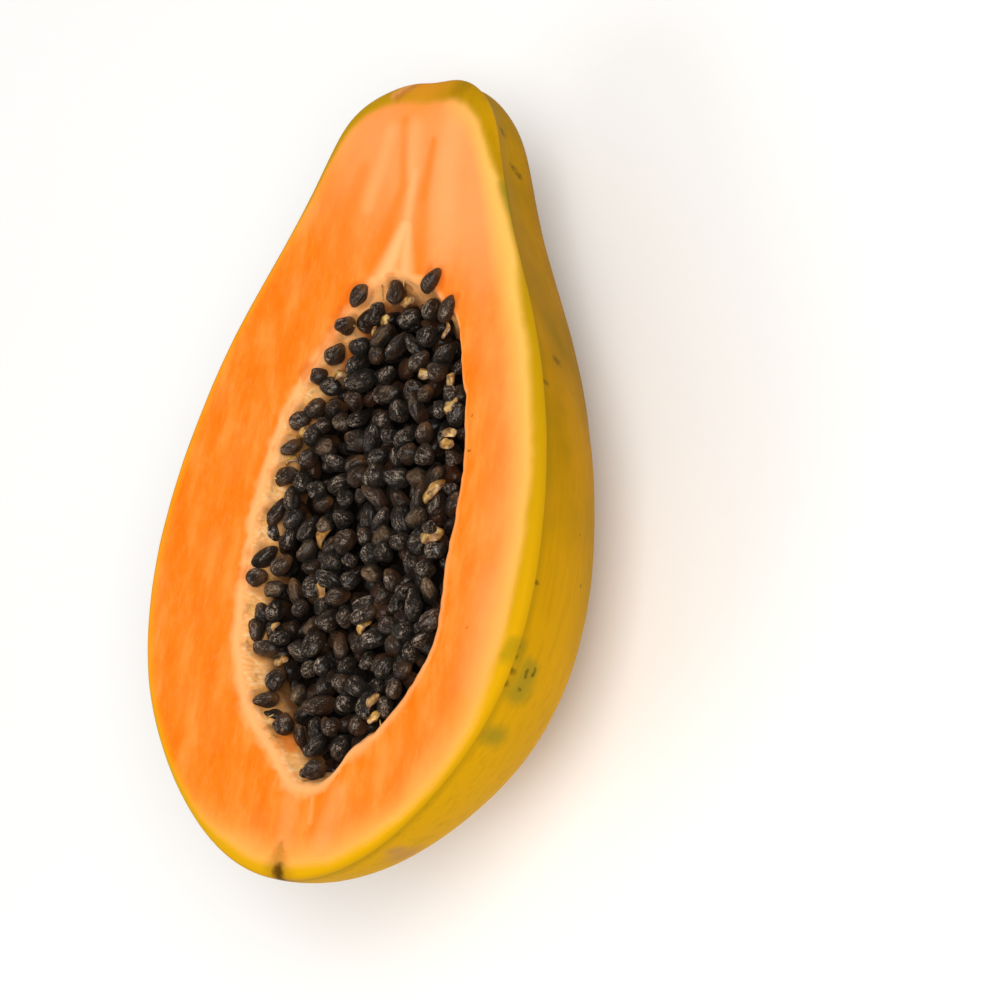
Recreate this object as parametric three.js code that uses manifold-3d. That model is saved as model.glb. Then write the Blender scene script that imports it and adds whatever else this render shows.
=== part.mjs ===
// A ripe papaya cut in half lengthwise, lying on its back with its seeds still in the cavity.
// Millimetres, +Z up. The pieces are shaped in the fruit's own frame: the cut face lies in z = 0,
// +Y runs along the fruit to its stem end and X runs across the cut face. The last lines tip the
// half the way it comes to rest and stand it on z = 0.
import * as THREE from 'three';
import { mergeVertices } from 'three/addons/utils/BufferGeometryUtils.js';
import Module from 'manifold-3d';

// Driving dimensions.
const LENGTH = 230; // stem end to blossom end
const GIRTH = [67.7, -6.7, 3.9, 7.9, 4.6, 2.3, 1.4]; // cosine series of the half width
const BACK_STRETCH = 1.01; // depth of the back against the half width
const LOBES = 5; // the fruit swells in lobes from its middle up to the stem
const LOBE_DEPTH = 0.1; // swell and hollow of the lobes, as a share of the half width
const LOBE_TURN = THREE.MathUtils.degToRad(15); // a hollow lies this far below the right rim
const LOBE_START = 0.1; // share of the way to the stem end where the lobes begin
const SHOULDER_RISE = 3.7; // how far the shoulders stand above the stem scar
const SHOULDER_RADIUS = 15; // distance from the scar to the top of the shoulders
const SHOULDER_SIDE = THREE.MathUtils.degToRad(35); // the side where the shoulders are highest
const SHOULDER_WAVE = 0.2; // share of the shoulders' height that follows the lobes
const SCAR_RISE = 1; // the stem scar is a low pad
const SCAR_RADIUS = 10;
const SCAR_X = -4; // left of the fruit's axis

const RIM_WIDTH = 3.5; // the cut edge is rounded over this width
const RIM_DROP = 3; // and falls this far, down to the height of the fruit's axis
// Where the cut grazes the skin its rounded edge is wider: azimuth and span in degrees, how much.
const RIM_WAVES = [[82, 20, 5], [256, 30, 1.5]];

const CAVITY_HALF_LENGTH = 75;
const CAVITY_HALF_WIDTH = 36;
const CAVITY_DEPTH = 33;
const CAVITY_X = 3.7; // middle of the cavity's mouth
const CAVITY_Y = -14;
const CAVITY_SLANT = 0.03; // sideways run of the mouth's middle line for each mm along the fruit
const CAVITY_BOW = 4.5; // that line also bows to the right by this much at its ends
// Where the mouth stands in from its ellipse: azimuth and span in degrees, how far.
const MOUTH_WAVES = [
  [38, 14, 2.5], [66, 13, 5.2], [88, 15, 5.5], [136, 9, 1.6], [-27, 13, -4.2], [-66, 13, 4.6],
  [-117, 12, 2.2], [-147, 13, -1.6],
];

const SEED_HALF_LENGTH = 3.7;
const SEED_HALF_WIDTH = 2.95;
const SEED_PITCH = 6.9; // mean distance between neighbouring seeds
const SEED_STRAY = 1.4; // how far a seed strays from its place in the rows
const SEED_LIFT = 1.6; // how far a seed stands above or below its layer
const SEED_LEVEL = -4.9; // middles of the top layer, below the cut face
const SEED_SLOPE = 0.02; // the heap lies higher on the right
const SEED_SINK = 2; // the packed mass starts this far below the middles of the top layer
const SEED_LEFT_REACH = 2.5; // the rows come this much nearer to the left wall
const ROW_BOW = 2.6; // the rows of seeds wind this far from straight
const ROW_RUN = 13; // over this much of their length
// Seeds that lie by themselves along the edge of the heap: x, y and height of the middle, turn in
// degrees, length against the usual one.
const EDGE_SEEDS = [
  [16.9, 55.2, 0, 60, 1.15], [-9.2, 51.7, -0.6, 48, 1.1], [2, 53.6, -3, 95, 1.1],
  [23.4, 47.9, -1.2, 78, 1.2], [-3.6, 47.2, -3.2, 80, 0.95], [9, 45.2, -2.6, 30, 1],
  [15.2, 48.2, -4.2, 70, 0.95],
  [16.2, 40, -3.4, 80, 0.9], [-13.6, 43.5, -1.8, 20, 0.95], [0.3, 40.1, -2.4, 48, 1.2],
  [6.4, 37.3, -2.6, 62, 1.3], [-7.7, 37.5, -3, 15, 0.95], [-16.1, 35.2, -2.8, 60, 1],
  [14.9, 32.8, -3, 40, 1.1], [23.5, 34.7, -3.5, 50, 1.1], [-21.4, 29.5, -2.8, 110, 0.95],
  [-24.7, 15.8, -3, 30, 1], [-26.2, 7.9, -3, 20, 1], [-27.7, -0.4, -4, 15, 1.2],
  [-28.2, -9.7, -4.3, 40, 1.25], [-27.9, -24.3, -3.5, 30, 1.2], [-29.8, -30.5, -2.5, 10, 1],
  [-22.3, -50.6, -3.5, 0, 1.15], [-18.6, -65.4, -3.5, 20, 1.15], [-10.8, -71.7, -4, 80, 0.9],
  [1.8, -76.9, -4.2, 60, 1.2], [10.7, -77.3, -4.5, 75, 1], [4.8, -84.1, -2.8, 30, 1],
];
const EDGE_ROOM = 4.6; // no seed of the rows lies nearer than this to one of them
const WALL_GAP = 0.4; // clearance between the seeds and the cavity wall
const HEADROOM = 12; // how far the seeds' room reaches above the cut face

const REST_CUT = 1; // depth of the flat spot that the half rests on
const REST_TILT = THREE.MathUtils.degToRad(-6.5); // the stem end lies lower

// Fineness of the fruit: steps round it, and rows in each of its zones.
const AROUND = 72;
const WALL_ROWS = 10;
const FACE_ROWS = 1;
const RIM_ROWS = 3;
const SKIN_ROWS = 18;

const FRUIT_COLOUR = 0xe58a2c;
const SEED_COLOUR = 0x2c2522;

const wasm = await Module();
wasm.setup();

// A closed three.js geometry as a solid for joining and cutting.
function solidOf(geometry) {
  const bare = geometry.clone();
  bare.deleteAttribute('normal');
  bare.deleteAttribute('uv');
  const merged = mergeVertices(bare, 1e-4);
  return new wasm.Manifold(new wasm.Mesh({
    numProp: 3,
    vertProperties: new Float32Array(merged.attributes.position.array),
    triVerts: new Uint32Array(merged.index.array),
  }));
}

// A solid back as a named mesh.
function meshOf(name, solid, material) {
  const { vertProperties, triVerts } = solid.getMesh();
  const geometry = new THREE.BufferGeometry();
  geometry.setAttribute('position', new THREE.BufferAttribute(vertProperties, 3));
  geometry.setIndex(new THREE.BufferAttribute(triVerts, 1));
  geometry.computeVertexNormals();
  const mesh = new THREE.Mesh(geometry, material);
  mesh.name = name;
  return mesh;
}

// A sphere with its poles on Z, each point moved by place(azimuth, row): azimuth turns from +X
// to +Y, and row counts down from 0 at the top pole.
function shapedSphere(around, rows, place) {
  const geometry = new THREE.SphereGeometry(1, around, rows);
  geometry.rotateX(Math.PI / 2);
  const position = geometry.attributes.position;
  const point = new THREE.Vector3();
  for (let i = 0; i < position.count; i += 1) {
    point.fromBufferAttribute(position, i);
    const polar = Math.acos(THREE.MathUtils.clamp(point.z, -1, 1));
    position.setXYZ(i, ...place(Math.atan2(point.y, point.x), Math.round(rows * polar / Math.PI)));
  }
  return geometry;
}

// Sum of a bell curve for each wave: azimuth and span in degrees, and height.
function bells(azimuth, waves) {
  return waves.reduce((sum, [middle, span, height]) => {
    const off = THREE.MathUtils.euclideanModulo(THREE.MathUtils.radToDeg(azimuth) - middle + 180, 360) - 180;
    return sum + height * Math.exp(-((off / span) ** 2));
  }, 0);
}

// A unit vector at this azimuth, turned down from the cut face by dip.
function direction(azimuth, dip) {
  return new THREE.Vector3(
    Math.cos(dip) * Math.cos(azimuth),
    Math.cos(dip) * Math.sin(azimuth),
    -Math.sin(dip),
  );
}

// The skin in a direction from the middle of the fruit's axis. t runs from 0 at the stem to PI at
// the blossom end, and the half width is sin t times the girth series. turn runs from 0 at the
// right rim to PI at the left. The section swells in lobes towards the stem, the shoulders rise
// round the stem scar, and the scar is a low pad.
function skinPoint(toward) {
  const t = Math.acos(THREE.MathUtils.clamp(toward.y, -1, 1));
  const turn = Math.atan2(-toward.z, toward.x);
  const halfWidth = Math.sin(t) * GIRTH.reduce((sum, size, i) => sum + size * Math.cos(i * t), 0);
  const neck = THREE.MathUtils.clamp((Math.cos(t) - LOBE_START) / (1 - LOBE_START), 0, 1);
  const hollow = Math.cos(LOBES * (turn - LOBE_TURN));
  const radius = halfWidth * (1 - LOBE_DEPTH * neck * hollow);
  const out = (halfWidth / SHOULDER_RADIUS) ** 2;
  const side = Math.cos((turn - SHOULDER_SIDE) / 2) ** 2;
  const wave = 1 - SHOULDER_WAVE * (1 + hollow);
  const shoulder = Math.cos(t) > 0 ? SHOULDER_RISE * out * Math.exp(1 - out) * side * wave : 0;
  const fromScar = Math.hypot(radius * Math.cos(turn) - SCAR_X, radius * Math.sin(turn));
  const pad = Math.cos(t) > 0 ? SCAR_RISE * Math.exp(-((fromScar / SCAR_RADIUS) ** 2)) : 0;
  return new THREE.Vector3(
    radius * Math.cos(turn),
    LENGTH / 2 * Math.cos(t) + shoulder + pad,
    -RIM_DROP - BACK_STRETCH * radius * Math.sin(turn),
  );
}

// The cavity is an ellipsoid below the cut face. Its middle line lies askew and bowed, and the
// waves of its mouth die out towards its floor.
function cavityPoint(azimuth, dip, inset) {
  const narrow = inset + bells(azimuth, MOUTH_WAVES) * Math.cos(dip);
  const reach = Math.cos(dip) * Math.sin(azimuth);
  const along = (CAVITY_HALF_LENGTH - narrow) * reach;
  const across = (CAVITY_HALF_WIDTH - narrow) * Math.cos(dip) * Math.cos(azimuth);
  return new THREE.Vector3(
    CAVITY_X + CAVITY_SLANT * along + CAVITY_BOW * reach ** 2 + across,
    CAVITY_Y + along,
    -(CAVITY_DEPTH - narrow) * Math.sin(dip),
  );
}

// The rounded edge of the cut: a quarter ellipse from the skin up and in to the cut face.
function rimPoint(azimuth, share) {
  const step = 0.01;
  const edge = skinPoint(direction(azimuth, 0));
  const tangent = skinPoint(direction(azimuth + step, 0)).sub(skinPoint(direction(azimuth - step, 0)));
  const inward = new THREE.Vector3(-tangent.y, tangent.x, 0).normalize();
  const bend = share * Math.PI / 2;
  const width = RIM_WIDTH + bells(azimuth, RIM_WAVES);
  edge.addScaledVector(inward, width * (1 - Math.cos(bend)));
  edge.z = RIM_DROP * (Math.sin(bend) - 1);
  return edge;
}

// One row of the fruit: the cavity wall up from its floor, the cut face, the rim, the skin.
function fruitPoint(azimuth, row) {
  const quarter = Math.PI / 2;
  const mouth = WALL_ROWS;
  const rim = mouth + FACE_ROWS;
  const skin = rim + RIM_ROWS;
  if (row <= mouth) return cavityPoint(azimuth, quarter * (1 - row / mouth), 0);
  if (row <= rim) {
    return cavityPoint(azimuth, 0, 0).lerp(rimPoint(azimuth, 1), (row - mouth) / FACE_ROWS);
  }
  if (row < skin) return rimPoint(azimuth, 1 - (row - rim) / RIM_ROWS);
  return skinPoint(direction(azimuth, quarter * (row - skin) / SKIN_ROWS));
}

// Everything below the flat spot: a block tipped so that it lies level once the half rests.
function belowTheRest(geometry) {
  const tipped = new THREE.Mesh(geometry.clone().rotateX(REST_TILT));
  const lowest = new THREE.Box3().setFromObject(tipped).min.z;
  const block = new THREE.BoxGeometry(2 * LENGTH, 2 * LENGTH, LENGTH);
  block.translate(0, 0, lowest + REST_CUT - LENGTH / 2);
  return solidOf(block.rotateX(-REST_TILT));
}

function fruit() {
  const rows = WALL_ROWS + FACE_ROWS + RIM_ROWS + SKIN_ROWS;
  const body = shapedSphere(AROUND, rows, fruitPoint);
  const solid = solidOf(body).subtract(belowTheRest(body));
  return meshOf('fruit', solid, new THREE.MeshStandardMaterial({
    color: FRUIT_COLOUR, roughness: 0.5, metalness: 0,
  }));
}

// A number from 0 to 1 that is always the same for the same key.
function scatter(key) {
  const wave = Math.sin(key * 12.9898) * 43758.5453;
  return wave - Math.floor(wave);
}

// Middles of the top layer: staggered rows that wind to and fro, each seed strayed from its place
// and kept off the wall. The seeds at the edge of the heap come on top.
function seedPlaces() {
  const rowStep = SEED_PITCH * Math.sqrt(3) / 2;
  const rows = Math.ceil(CAVITY_HALF_LENGTH / rowStep);
  const columns = Math.ceil(CAVITY_HALF_WIDTH / SEED_PITCH) + 1;
  const places = EDGE_SEEDS.map(([x, y, z, turn, stretch]) => (
    { x, y, z, stretch, size: 1, tip: 0, turn: THREE.MathUtils.degToRad(turn) }));
  for (let row = -rows; row <= rows; row += 1) {
    for (let column = -columns; column <= columns; column += 1) {
      const key = 100 * (row + rows) + column + columns;
      const straight = SEED_PITCH * (column + (row & 1) / 2);
      const step = rowStep * row;
      const across = straight + ROW_BOW * Math.sin(step / ROW_RUN) + SEED_STRAY * (2 * scatter(key) - 1);
      const along = step + ROW_BOW * Math.sin(straight / ROW_RUN + 1)
        + SEED_STRAY * (2 * scatter(key + 0.25) - 1);
      const azimuth = Math.atan2(along / CAVITY_HALF_LENGTH, across / CAVITY_HALF_WIDTH);
      const narrow = bells(azimuth, MOUTH_WAVES) - (across < 0 ? SEED_LEFT_REACH : 0);
      const reach = Math.hypot(
        across / (CAVITY_HALF_WIDTH - SEED_HALF_WIDTH - narrow),
        along / (CAVITY_HALF_LENGTH - SEED_HALF_LENGTH - narrow),
      );
      const bow = CAVITY_BOW * (along / CAVITY_HALF_LENGTH) ** 2;
      const x = CAVITY_X + CAVITY_SLANT * along + bow + across;
      const y = CAVITY_Y + along;
      const free = EDGE_SEEDS.every(([edgeX, edgeY]) => Math.hypot(x - edgeX, y - edgeY) > EDGE_ROOM);
      if (reach < 1 && free) {
        places.push({
          x,
          y,
          z: SEED_LEVEL + SEED_SLOPE * x + SEED_LIFT * (2 * scatter(key + 0.5) - 1),
          size: 0.84 + 0.34 * scatter(key + 0.75),
          stretch: 0.88 + 0.45 * scatter(key + 0.66) ** 2,
          tip: 1.5 * (scatter(key + 0.1) - 0.5) + (scatter(key + 0.81) > 0.75 ? 0.6 : 0),
          turn: Math.PI * scatter(key + 0.35),
        });
      }
    }
  }
  return places;
}

// One seed: an egg-shaped pip lying at its own angle.
function seed({ x, y, z, size, stretch, tip, turn }) {
  const geometry = new THREE.OctahedronGeometry(size, 1);
  const width = SEED_HALF_WIDTH / Math.sqrt(stretch);
  geometry.scale(SEED_HALF_LENGTH * stretch, width, width);
  geometry.rotateY(tip);
  geometry.rotateZ(turn);
  geometry.translate(x, y, z);
  return solidOf(geometry);
}

// The largest body of a solid, without loose scraps or sealed hollows.
function mainBody(solid) {
  return solid.decompose().reduce((largest, body) => (body.volume() > largest.volume() ? body : largest));
}

// The seeds stand out of the packed mass that fills the cavity, and stay clear of its wall.
function seeds() {
  const mass = new THREE.BoxGeometry(LENGTH, LENGTH, LENGTH);
  mass.translate(0, 0, -LENGTH / 2);
  mass.rotateY(-Math.atan(SEED_SLOPE));
  mass.translate(0, 0, SEED_LEVEL - SEED_SINK);
  const room = shapedSphere(40, 24, (azimuth, row) => {
    const dip = Math.PI * (row / 24 - 0.5);
    const point = cavityPoint(azimuth, dip, WALL_GAP);
    if (dip < 0) point.z = -HEADROOM * Math.sin(dip);
    return point;
  });
  const heap = seedPlaces().map(seed).reduce((sum, one) => sum.add(one), solidOf(mass));
  return meshOf('seeds', mainBody(heap.intersect(solidOf(room))), new THREE.MeshStandardMaterial({
    color: SEED_COLOUR, roughness: 0.4, metalness: 0,
  }));
}

const half = new THREE.Group();
half.add(fruit(), seeds());
half.rotation.x = REST_TILT;

// The origin is the middle of the bounding box's floor.
const papaya = new THREE.Group();
papaya.add(half);
papaya.updateMatrixWorld(true);
const bounds = new THREE.Box3().setFromObject(papaya, true);
const middle = bounds.getCenter(new THREE.Vector3());
papaya.position.set(-middle.x, -middle.y, -bounds.min.z);

export default papaya;
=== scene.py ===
"""A ripe papaya cut in half lengthwise, lying on its rounded back, in a plain pale studio."""

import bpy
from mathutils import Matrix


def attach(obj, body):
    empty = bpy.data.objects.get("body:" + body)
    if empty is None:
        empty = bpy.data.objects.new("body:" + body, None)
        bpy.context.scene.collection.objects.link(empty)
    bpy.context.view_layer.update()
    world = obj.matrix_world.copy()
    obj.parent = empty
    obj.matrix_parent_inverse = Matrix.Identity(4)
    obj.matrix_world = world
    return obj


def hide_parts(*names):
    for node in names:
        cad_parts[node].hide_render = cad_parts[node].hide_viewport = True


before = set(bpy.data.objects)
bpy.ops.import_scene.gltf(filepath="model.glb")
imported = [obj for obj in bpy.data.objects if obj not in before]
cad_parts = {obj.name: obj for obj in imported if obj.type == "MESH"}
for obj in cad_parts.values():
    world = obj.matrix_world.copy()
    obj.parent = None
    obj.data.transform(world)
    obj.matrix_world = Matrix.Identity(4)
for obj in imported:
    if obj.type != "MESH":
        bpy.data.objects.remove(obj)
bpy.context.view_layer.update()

import bpy
import numpy as np
from mathutils import Matrix, Vector

scene = bpy.context.scene

# Shapes are worked out in millimetres in the fruit's own frame: the cut face is z = 0, +Y runs to
# the stem end and +X across the face. at_rest() tips them the way the half comes to rest.
LENGTH = 230
GIRTH = (67.7, -6.7, 3.9, 7.9, 4.6, 2.3, 1.4)  # cosine series of the half width
BACK_STRETCH = 1.01
LOBES = 5
LOBE_DEPTH = 0.1
LOBE_TURN = np.radians(15)
LOBE_START = 0.1
SHOULDER_RISE = 3.7
SHOULDER_RADIUS = 15
SHOULDER_SIDE = np.radians(35)
SHOULDER_WAVE = 0.2
SCAR_RISE = 1
SCAR_RADIUS = 10
SCAR_X = -4
RIM_WIDTH = 3.5
RIM_DROP = 3
CAVITY_HALF_LENGTH = 75
CAVITY_HALF_WIDTH = 36
CAVITY_DEPTH = 33
CAVITY_X = 3.7
CAVITY_Y = -14
CAVITY_SLANT = 0.03
CAVITY_BOW = 4.5  # the mouth's middle line bows to the right at its ends
# Where the mouth stands in from its ellipse: azimuth and span in degrees, and how far.
MOUTH_WAVES = (
    (38, 14, 2.5), (66, 13, 5.2), (88, 15, 5.5), (136, 9, 1.6), (-27, 13, -4.2), (-66, 13, 4.6),
    (-117, 12, 2.2), (-147, 13, -1.6),
)
LINING_SLOPE = 3.5  # across from its steep side the wall comes in by this much as it goes down
STEEP_SIDE = np.radians(20)
# The rounded edge is wider where the cut grazes the skin: azimuth and span in degrees, and how far.
RIM_WAVES = ((82, 20, 5.0), (256, 30, 1.5))
MOUTH_ROUND = 1.8  # the cavity's edge is softened over this much
TILT = np.radians(-6.5)
STAND = (0, -0.059, 69.451)  # from the fruit's frame to the scene's

AROUND = 400  # steps round the fruit
WALL_ROWS = 44
MOUTH_ROWS = 6
FACE_ROWS = 58
RIM_ROWS = 12
SKIN_ROWS = 112
SHADE_AND_STAIN_ROWS = 12  # rows of the cut face, out from the mouth, that may take the edge seeds' painted shadow and stain
LINING, FLESH, SKIN = range(3)  # the body's finishes


# -------- numbers and meshes


def scatter(key):
    """A number from 0 to 1, always the same for the same key: the fraction of a steep sine."""
    wave = np.sin(key * 12.9898) * 43758.5453
    return wave - np.floor(wave)


def clouds(points, size, seed=0):
    """Smooth random field from -1 to 1. Each corner of a cubic lattice of this size has a scattered
    value, and a point takes the eased mix of its eight corners."""
    cell = np.floor(points / size)
    ease = points / size - cell
    ease = ease * ease * (3 - 2 * ease)
    total = 0
    for corner in np.ndindex(2, 2, 2):
        key = ((cell + corner) * (1.0, 57.31, 113.17)).sum(-1) + 7.7 * seed
        weight = np.where(corner, ease, 1 - ease).prod(-1)
        total = total + weight * (2 * scatter(key) - 1)
    return total


def ramp(value, low, high):
    """0 below low, 1 above high, eased between them."""
    share = np.clip((value - low) / (high - low), 0, 1)
    return share * share * (3 - 2 * share)


def at_rest(points):
    """Fruit frame to scene frame: turned by TILT about X, moved by STAND, and in metres."""
    x, y, z = np.moveaxis(points, -1, 0)
    c, s = np.cos(TILT), np.sin(TILT)
    return (np.stack([x, y * c - z * s, y * s + z * c], -1) + STAND) / 1000


def shells(name, first, rings, last, finishes, fields, row_finish=None):
    """Closed shells as one smooth mesh. Shell s starts at the point first[s], widens through
    rings[s, row, step] and closes at last[s]; steps turn anticlockwise seen from outside first.
    fields are arrays per shell or per point that become attributes of the mesh, beside place, the
    point in millimetres. row_finish gives each band between two rows its finish."""
    count, rows, steps, _ = rings.shape
    points = np.concatenate([first[:, None], rings.reshape(count, -1, 3), last[:, None]], 1)
    size = points.shape[1]
    start = (np.arange(count) * size)[:, None, None]
    step = np.arange(steps)
    row = np.arange(rows)[:, None]
    here, after = 1 + row * steps + step, 1 + row * steps + (step + 1) % steps
    quads = np.stack([here[:-1], here[1:], after[1:], after[:-1]], -1).reshape(1, -1, 4) + start
    caps = np.concatenate([
        np.stack([0 * step, here[0], after[0]], -1),
        np.stack([here[-1], 0 * step + size - 1, after[-1]], -1),
    ])[None] + start
    corners = np.concatenate([quads.ravel(), caps.ravel()])
    sizes = np.repeat([4, 3], [quads.size // 4, caps.size // 3])

    mesh = bpy.data.meshes.new(name)
    mesh.vertices.add(count * size)
    mesh.vertices.foreach_set("co", at_rest(points).astype(np.float32).ravel())
    mesh.loops.add(len(corners))
    mesh.loops.foreach_set("vertex_index", corners.astype(np.int32))
    mesh.polygons.add(len(sizes))
    mesh.polygons.foreach_set("loop_start", (np.cumsum(sizes) - sizes).astype(np.int32))
    mesh.update(calc_edges=True)
    mesh.validate()
    mesh.shade_smooth()
    for finish in finishes:
        mesh.materials.append(finish)
    if row_finish is not None:
        bands = np.concatenate([row_finish, row_finish[[0, -1]]])
        mesh.polygons.foreach_set("material_index", np.repeat(bands, steps).astype(np.int32))
    for key, values in {"place": points, **fields}.items():
        kind, entry = ("FLOAT_VECTOR", "vector") if values.ndim == 3 else ("FLOAT", "value")
        if values.ndim == 1:
            values = np.broadcast_to(values[:, None], (count, size))
        data = mesh.attributes.new(key, kind, "POINT").data
        data.foreach_set(entry, values.astype(np.float32).ravel())
    piece = bpy.data.objects.new(name, mesh)
    scene.collection.objects.link(piece)
    return piece


# -------- the shape of the fruit


def skin_point(azimuth, dip):
    """The skin towards azimuth, turned down from the cut face by dip. t runs from 0 at the stem to
    pi at the blossom end; the half width is sin t times the girth series, swollen in lobes towards
    the stem, with shoulders round the stem scar, which is a low pad. Gives the points, and how deep
    each lies in the grooves between the lobes."""
    t = np.arccos(np.clip(np.cos(dip) * np.sin(azimuth), -1, 1))
    turn = np.arctan2(np.sin(dip), np.cos(dip) * np.cos(azimuth))
    half_width = np.sin(t) * sum(size * np.cos(i * t) for i, size in enumerate(GIRTH))
    neck = np.clip((np.cos(t) - LOBE_START) / (1 - LOBE_START), 0, 1)
    hollow = np.cos(LOBES * (turn - LOBE_TURN))
    radius = half_width * (1 - LOBE_DEPTH * neck * hollow)
    out = (half_width / SHOULDER_RADIUS) ** 2
    side = np.cos((turn - SHOULDER_SIDE) / 2) ** 2
    wave = 1 - SHOULDER_WAVE * (1 + hollow)
    shoulder = np.where(np.cos(t) > 0, SHOULDER_RISE * out * np.exp(1 - out) * side * wave, 0)
    x, deep = radius * np.cos(turn), radius * np.sin(turn)
    from_scar = np.hypot(x - SCAR_X, deep) / SCAR_RADIUS
    pad = np.where(np.cos(t) > 0, SCAR_RISE * np.exp(-from_scar ** 2), 0)
    y = LENGTH / 2 * np.cos(t) + shoulder + pad
    point = np.stack([x, y, -RIM_DROP - BACK_STRETCH * deep], -1)
    # Gentle waves, as on any skin that grew: a quarter of a millimetre over 22 mm, less over 7 mm.
    outward = np.stack([np.cos(turn), 0.3 * np.cos(t), -np.sin(turn)], -1)
    waves = 0.28 * clouds(point, 22, 1) + 0.07 * clouds(point, 7, 2)
    return point + outward * (waves * np.sin(t))[..., None], neck * (0.5 + 0.5 * hollow)


def cavity_point(azimuth, dip, inset):
    """The cavity's wall: an ellipsoid that runs cos dip sin azimuth along, cos dip cos azimuth
    across and sin dip down, with its half sizes less inset and its middle line askew and bowed."""
    reach = np.cos(dip) * np.sin(azimuth)
    along = (CAVITY_HALF_LENGTH - inset) * reach
    across = (CAVITY_HALF_WIDTH - inset) * np.cos(dip) * np.cos(azimuth)
    return np.stack([
        CAVITY_X + CAVITY_SLANT * along + CAVITY_BOW * reach ** 2 + across,
        CAVITY_Y + along,
        -(CAVITY_DEPTH - inset) * np.sin(dip),
    ], -1)


def bells(azimuth, waves):
    """Sum of a bell curve for each wave: azimuth and span in degrees, and height."""
    total = 0
    for middle, span, height in waves:
        off = (np.degrees(azimuth) - middle + 180) % 360 - 180
        total = total + height * np.exp(-(off / span) ** 2)
    return total


def mouth_inset(azimuth):
    """How far the edge of the cavity stands in from its ellipse: its waves, and ragged where the
    lining tore."""
    edge = cavity_point(azimuth, 0 * azimuth, 0)
    return bells(azimuth, MOUTH_WAVES) + 0.45 * clouds(edge, 7, 3) + 0.3 * clouds(edge, 2.2, 4)


def streak(place, x0, y0, x1, y1, half0, half1):
    """1 along the line from (x0, y0) to (x1, y1) on the face, eased to 0 at its half width, which
    runs from half0 to half1; its ends fade out too."""
    way = np.array([x1 - x0, y1 - y0])
    offset = place[..., :2] - (x0, y0)
    share = np.clip((offset @ way) / (way @ way), 0, 1)
    gap = np.linalg.norm(offset - share[..., None] * way, axis=-1)
    return 1 - ramp(gap / (half0 + (half1 - half0) * share), 0.1, 1.6)


# Marks in the flesh: ends, half widths there, and strength. Strands of pale fibre run from the
# cavity towards the stem, with deeper orange between them.
PALE_STRANDS = (
    (-1.6, 54, 3.4, 72, 4.4, 2.0, 0.95),
    (7.2, 54, 4.4, 72, 3.4, 1.6, 0.8),
    (3.9, 68, 3.4, 88, 2.0, 1.5, 0.55),
    (3.4, 84, 0.2, 101, 1.8, 3.4, 0.32),
    (-8.0, 101, -11.5, 78, 2.6, 2.4, 0.32),
    (14.0, 100, 18.0, 62, 4.0, 5.0, 0.3),
    (7.7, -89, 8.6, -99, 0.7, 0.9, 0.3),
    (0.2, -90, 0.8, -104, 3.0, 3.5, 0.25),
    (17.0, -90, 14.0, -103, 3.0, 4.0, 0.25),
)
DEEP_STRANDS = (
    (-3.4, 104, 0.0, 84, 1.6, 1.8, 0.6),
    (0.0, 84, -5.6, 60, 1.8, 3.0, 0.6),
    (8.4, 97, 8.2, 80, 1.4, 2.4, 0.7),
    (8.2, 80, 12.5, 60, 2.4, 3.2, 0.5),
    (-16.0, 90, -20.0, 64, 2.5, 4.0, 0.4),
    (10.0, -90, 11.0, -100, 1.6, 2.2, 0.4),
)

# How much further the golden rind reaches in from the edge than usual: azimuth and span in
# degrees, and how far.
BAND_WAVES = (
    (88, 20, 4.4), (39, 12, -3.6), (-16, 17, 2.2), (256, 30, 2.0), (312, 14, -1.6), (118, 14, 2.0),
)
# Greenish bruises on the rind's edge to the right, and the blush of the stem scar.
OLIVE_STRANDS = (
    (34.9, 83.0, 44.3, 67.2, 1.6, 2.0, 0.7),
    (67.2, -46.6, 65.6, -50.4, 1.8, 1.8, 0.65),
)
BLUSH_STRANDS = ((-9.5, 112.0, -5.0, 114.6, 1.6, 1.6, 0.8),)


def marks(place, strands):
    """The strongest of these streaks at each point."""
    return np.max([strand[-1] * streak(place, *strand[:-1]) for strand in strands], axis=0)


SUNNY_SIDE = np.radians(15)  # the right of the fruit, where its rind is broad and pale
FAR = 90  # millimetres from an edge that is nowhere near


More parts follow.
